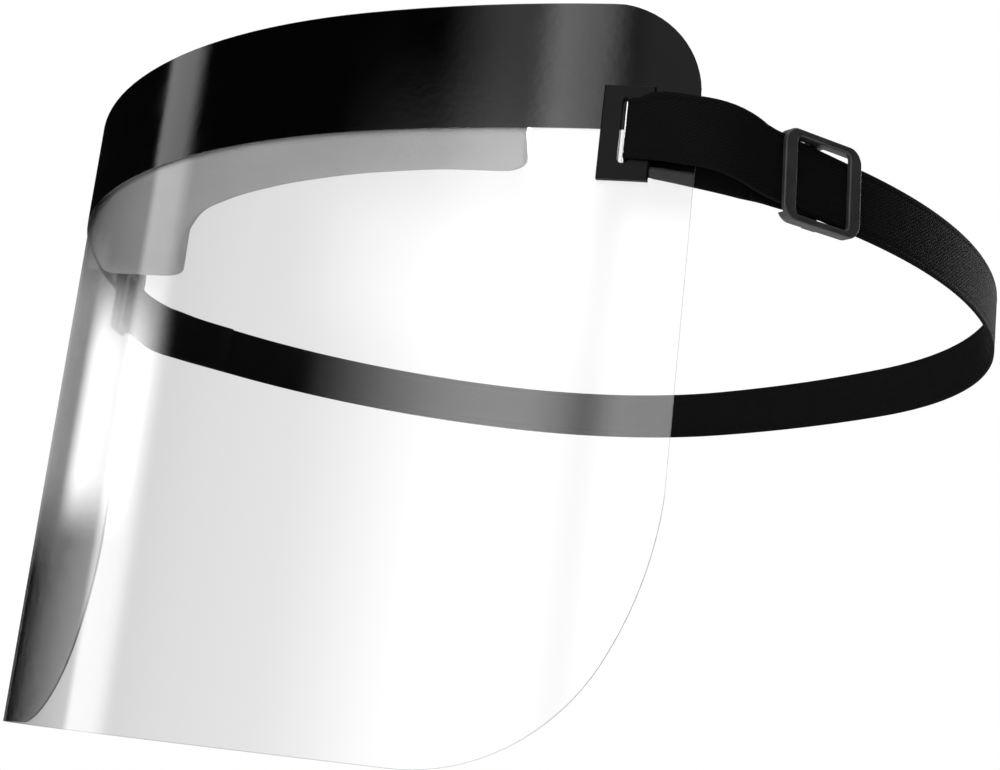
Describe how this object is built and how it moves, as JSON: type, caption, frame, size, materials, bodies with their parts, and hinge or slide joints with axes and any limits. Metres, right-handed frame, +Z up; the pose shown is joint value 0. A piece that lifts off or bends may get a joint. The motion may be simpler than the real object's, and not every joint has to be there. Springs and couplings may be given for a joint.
{
  "type": "face shield",
  "caption": "Clear curved visor under a black brow band, with a foam forehead pad and an elastic head strap that swings at its slots and carries a sliding adjuster.",
  "frame": {"origin": "middle of the foam pad's rear face, where it meets the forehead", "axes": "+Y back through the wearer's head, +X to the wearer's left, +Z up; the visor's cylinder stands upright, parallel to Z"},
  "size_m": [0.3454, 0.2971, 0.2032],
  "materials": {
    "clear_sheet": "polished",
    "gloss_band": "gloss",
    "adhesive_film": "satin",
    "foam": "matte",
    "moulded_black": "satin",
    "slider_black": "satin",
    "elastic_webbing": "matte",
    "thread": "satin"
  },
  "bodies": {
    "shield": {"visor_sheet": "clear_sheet", "brow_band": "gloss_band", "band_tape": "adhesive_film", "pad_tape": "adhesive_film", "foam_pad": "foam", "anchor_plate_left": "moulded_black", "anchor_plate_right": "moulded_black", "anchor_backing_left": "moulded_black", "anchor_backing_right": "moulded_black", "strap_fold_left": "elastic_webbing", "strap_fold_right": "elastic_webbing"},
    "strap": {"strap_leg_left": "elastic_webbing", "strap_leg_right": "elastic_webbing", "strap_side_left": "elastic_webbing", "strap_side_right": "elastic_webbing", "strap_back": "elastic_webbing", "strap_inner_leg_left": "elastic_webbing", "strap_return_right": "elastic_webbing", "box_seam_right": "thread"},
    "slider": {"slider_frame": "slider_black", "strap_end_loop": "elastic_webbing", "bar_tack_left": "thread"}
  },
  "joints": [
    {"name": "strap_swing", "type": "hinge", "parent": "shield", "child": "strap", "pos_m": [0, 0.03406, -0.0159], "axis": [1, 0, 0], "range_deg": [-30, 35], "deforming": ["strap_inner_leg_left", "strap_return_right"]},
    {"name": "slider_slide", "type": "slide", "parent": "strap", "child": "slider", "axis": [0, 0.9998, -0.0183], "range_m": [-0.003, 0.01], "deforming": ["strap_inner_leg_left"]}
  ]
}
